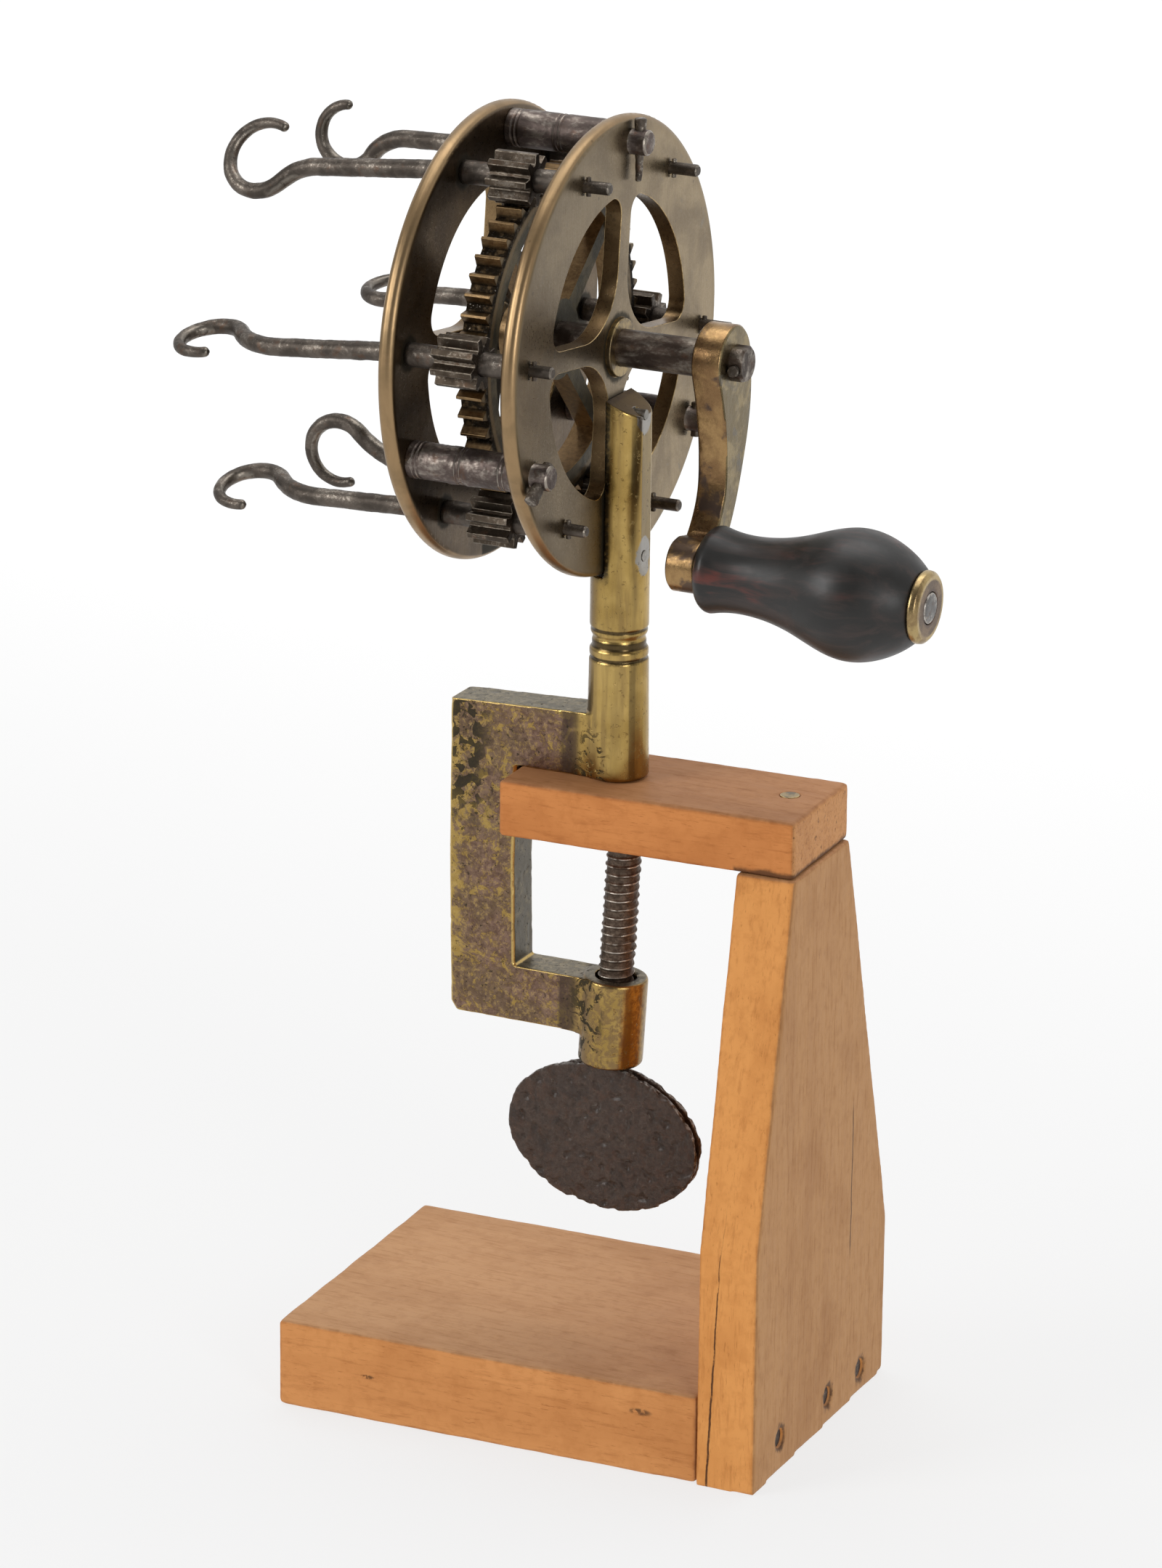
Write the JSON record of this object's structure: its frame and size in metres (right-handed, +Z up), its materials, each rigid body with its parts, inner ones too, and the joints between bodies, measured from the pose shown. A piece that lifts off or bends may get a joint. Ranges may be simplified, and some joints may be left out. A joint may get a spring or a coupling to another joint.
{
  "type": "hand-cranked cord twister",
  "caption": "Hand-cranked twister whose central gear turns a ring of hooked spindles, with a post and C-clamp held on a small wooden stand.",
  "frame": {"origin": "where the axis of the twister's post meets the underside of the stand's base", "axes": "+Z up; +X along the crank shaft from the hooks towards the crank; +Y completes the right-handed frame"},
  "size_m": [0.2095, 0.1266, 0.3708],
  "materials": {
    "stand_wood": "bare light wood, fine straight grain, satin",
    "iron_fastener": "dark rusty iron",
    "trim_brass": "worn bright brass",
    "cast_brass": "cast yellow brass with brown and grey patina",
    "plate_brass": "aged brown-grey brass faces with polished rims",
    "gear_brass": "brown brass, grimy tooth spaces",
    "crank_brass": "forged brass with brown patina",
    "dark_steel": "dark grey-brown steel, worn bright on ridges",
    "pinion_steel": "dark oily steel",
    "screw_iron": "dark brown iron, crests worn bright",
    "thumb_iron": "pitted rust-brown iron",
    "grip_ebony": "near-black hardwood with reddish streaks, satin"
  },
  "bodies": {
    "frame": {"stand_base": "stand_wood", "stand_upright": "stand_wood", "stand_board": "stand_wood", "base_screws": "iron_fastener", "board_screw": "trim_brass", "clamp_frame": "cast_brass", "post_rivets": "dark_steel", "front_plate": "plate_brass", "rear_plate": "plate_brass", "front_bush": "trim_brass", "rear_bush": "trim_brass", "pillar_top": "dark_steel", "pillar_near": "dark_steel", "pillar_far": "dark_steel", "pillar_pin_top": "dark_steel", "pillar_pin_near": "dark_steel", "pillar_pin_far": "dark_steel"},
    "crank": {"main_shaft": "dark_steel", "drive_gear": "gear_brass", "gear_centre": "gear_brass", "gear_pin": "dark_steel", "crank_arm": "crank_brass", "crank_pin": "dark_steel", "handle_spindle": "dark_steel"},
    "handle": {"handle_grip": "grip_ebony", "handle_ferrule": "trim_brass"},
    "hook_1": {"hook_spindle_1": "dark_steel", "pinion_1": "pinion_steel", "spindle_cotter_1": "dark_steel"},
    "hook_2": {"hook_spindle_2": "dark_steel", "pinion_2": "pinion_steel", "spindle_cotter_2": "dark_steel"},
    "hook_3": {"hook_spindle_3": "dark_steel", "pinion_3": "pinion_steel", "spindle_cotter_3": "dark_steel"},
    "hook_4": {"hook_spindle_4": "dark_steel", "pinion_4": "pinion_steel", "spindle_cotter_4": "dark_steel"},
    "hook_5": {"hook_spindle_5": "dark_steel", "pinion_5": "pinion_steel", "spindle_cotter_5": "dark_steel"},
    "hook_6": {"hook_spindle_6": "dark_steel", "pinion_6": "pinion_steel", "spindle_cotter_6": "dark_steel"},
    "clamp_screw": {"clamp_spindle": "screw_iron"},
    "thumb_plate": {"thumb_leaf_front": "thumb_iron", "thumb_leaf_back": "thumb_iron", "thumb_core": "thumb_iron"}
  },
  "joints": [
    {"name": "crank_turn", "type": "hinge", "parent": "frame", "child": "crank", "pos_m": [0, 0, 0.30835], "axis": [1, 0, 0], "continuous": true},
    {"name": "handle_spin", "type": "hinge", "parent": "crank", "child": "handle", "pos_m": [0.0332, -0.0174, 0.25625], "axis": [0.9995, 0, -0.0314], "continuous": true},
    {"name": "hook_1_spin", "type": "hinge", "parent": "frame", "child": "hook_1", "pos_m": [0, 0.05264, 0.30263], "axis": [1, 0, 0], "continuous": true},
    {"name": "hook_2_spin", "type": "hinge", "parent": "frame", "child": "hook_2", "pos_m": [0, 0.03127, 0.35108], "axis": [1, 0, 0], "continuous": true},
    {"name": "hook_3_spin", "type": "hinge", "parent": "frame", "child": "hook_3", "pos_m": [0, -0.02137, 0.3568], "axis": [1, 0, 0], "continuous": true},
    {"name": "hook_4_spin", "type": "hinge", "parent": "frame", "child": "hook_4", "pos_m": [0, -0.05264, 0.31407], "axis": [1, 0, 0], "continuous": true},
    {"name": "hook_5_spin", "type": "hinge", "parent": "frame", "child": "hook_5", "pos_m": [0, -0.03127, 0.26562], "axis": [1, 0, 0], "continuous": true},
    {"name": "hook_6_spin", "type": "hinge", "parent": "frame", "child": "hook_6", "pos_m": [0, 0.02137, 0.2599], "axis": [1, 0, 0], "continuous": true},
    {"name": "clamp_screw_travel", "type": "slide", "parent": "frame", "child": "clamp_screw", "axis": [-0.0576, 0, -0.9983], "range_m": [0, 0.03]},
    {"name": "clamp_screw_turn", "type": "hinge", "parent": "clamp_screw", "child": "thumb_plate", "pos_m": [0.0004, 0, 0.1297], "axis": [-0.0576, 0, -0.9983], "range_deg": [0, 4320]}
  ],
  "couplings": [
    {"joint": "hook_1_spin", "follows": "crank_turn", "ratio": -6.75},
    {"joint": "hook_2_spin", "follows": "crank_turn", "ratio": -6.75},
    {"joint": "hook_3_spin", "follows": "crank_turn", "ratio": -6.75},
    {"joint": "hook_4_spin", "follows": "crank_turn", "ratio": -6.75},
    {"joint": "hook_5_spin", "follows": "crank_turn", "ratio": -6.75},
    {"joint": "hook_6_spin", "follows": "crank_turn", "ratio": -6.75},
    {"joint": "clamp_screw_turn", "follows": "clamp_screw_travel", "rad_per_m": 2513.3}
  ]
}
